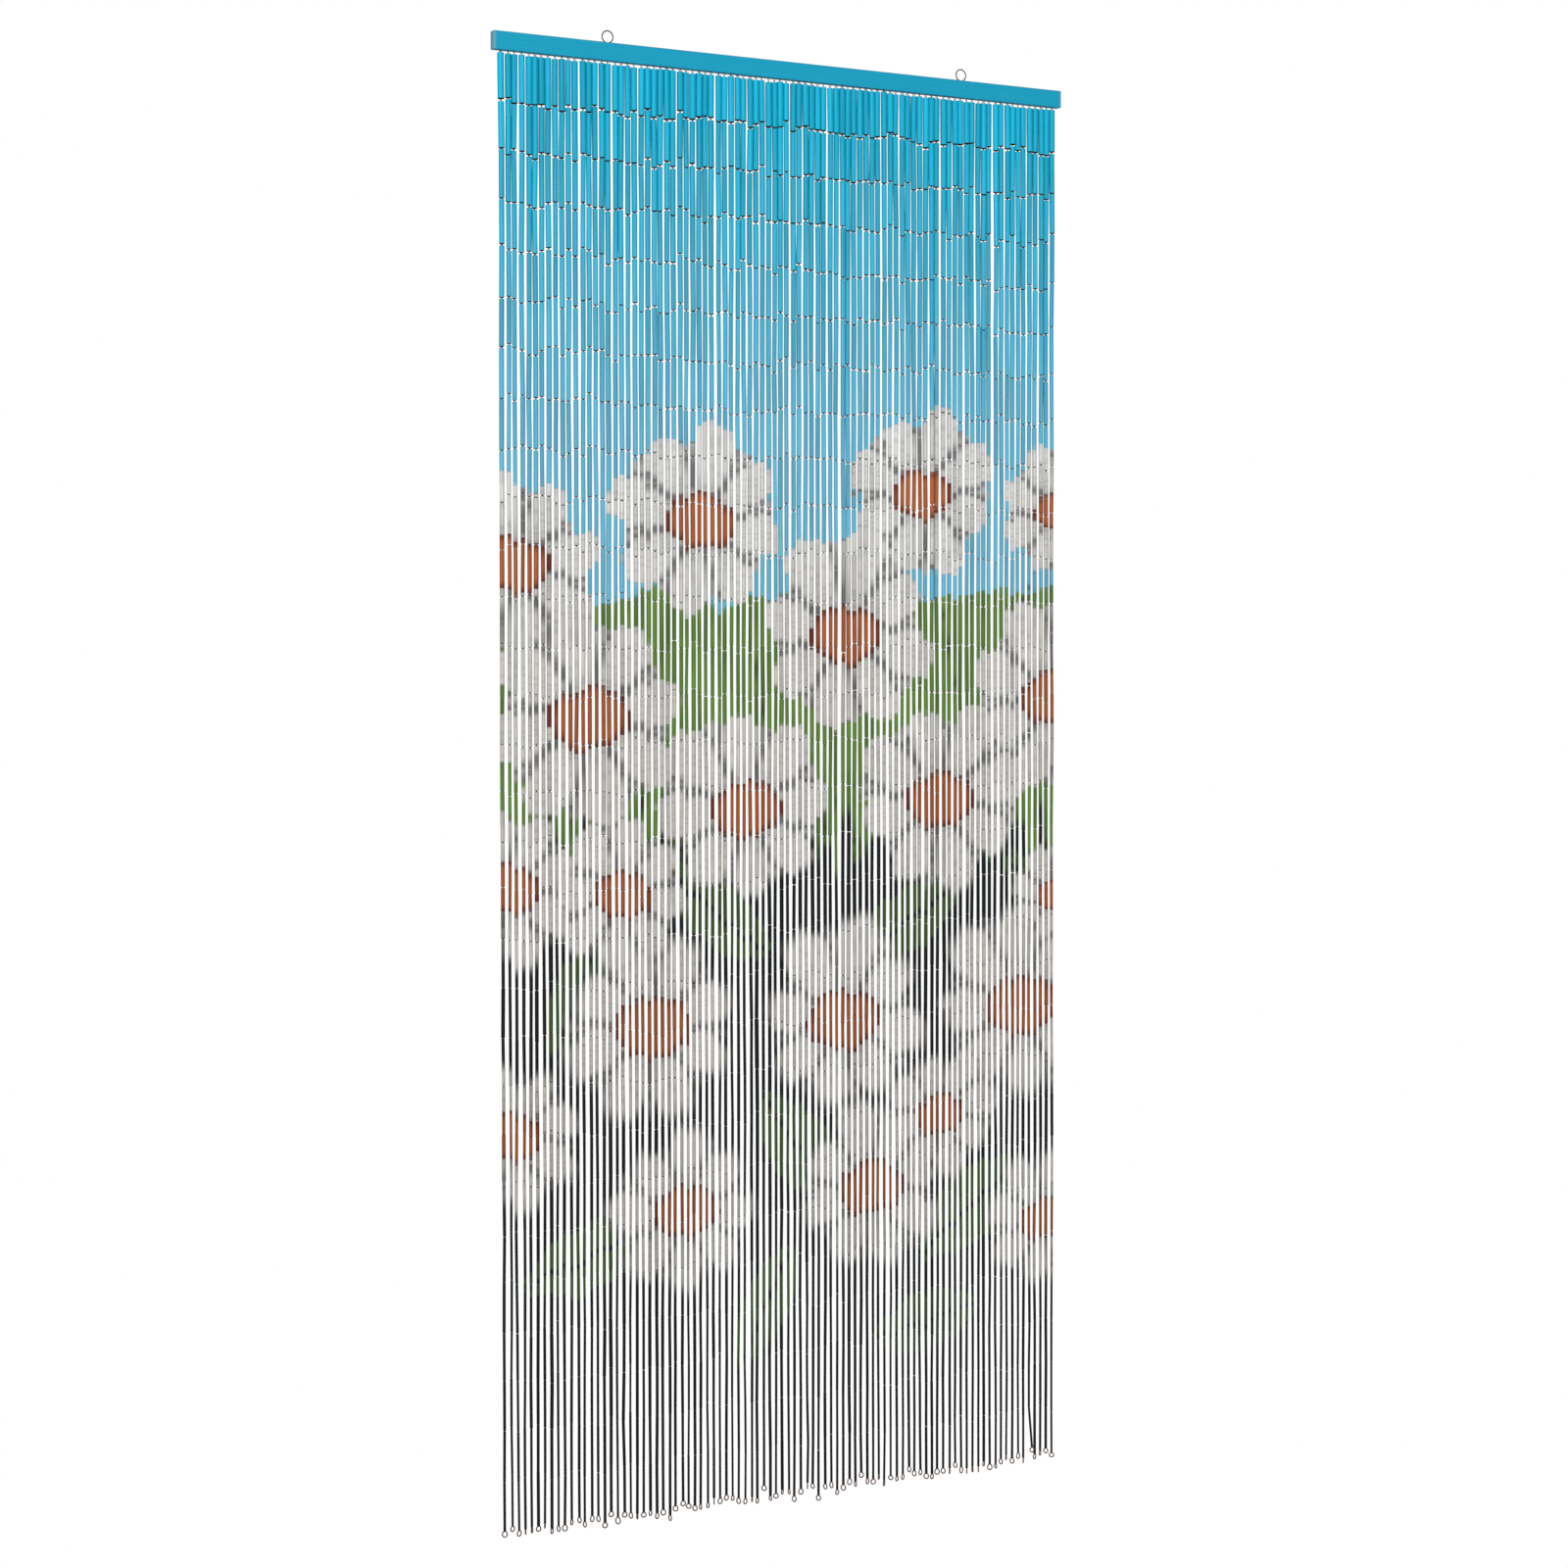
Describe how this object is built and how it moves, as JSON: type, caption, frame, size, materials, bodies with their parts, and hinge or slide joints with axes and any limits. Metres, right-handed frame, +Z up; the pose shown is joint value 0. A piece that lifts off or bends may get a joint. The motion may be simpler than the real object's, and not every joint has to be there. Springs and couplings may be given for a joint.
{
  "type": "bamboo door curtain on a hanging rail",
  "caption": "Door curtain of painted bamboo tubes linked into long strands with fine wire, hung under a flat wooden rail that carries screw eyes.",
  "frame": {"origin": "midway between the two points where the screw eyes bear on the hooks they hang from, at the inner top of their rings", "axes": "+X along the rail to the right as seen from the front, +Y back through the curtain, +Z up"},
  "size_m": [0.9, 0.012, 2.019],
  "materials": {
    "rail_paint": "painted, satin",
    "steel_wire": "bare wire",
    "bamboo_paint": "painted bamboo, satin"
  },
  "bodies": {
    "root": {"rail": "rail_paint", "screw_eye_left": "steel_wire", "screw_eye_right": "steel_wire", "bamboo_strands": "bamboo_paint"}
  },
  "joints": []
}
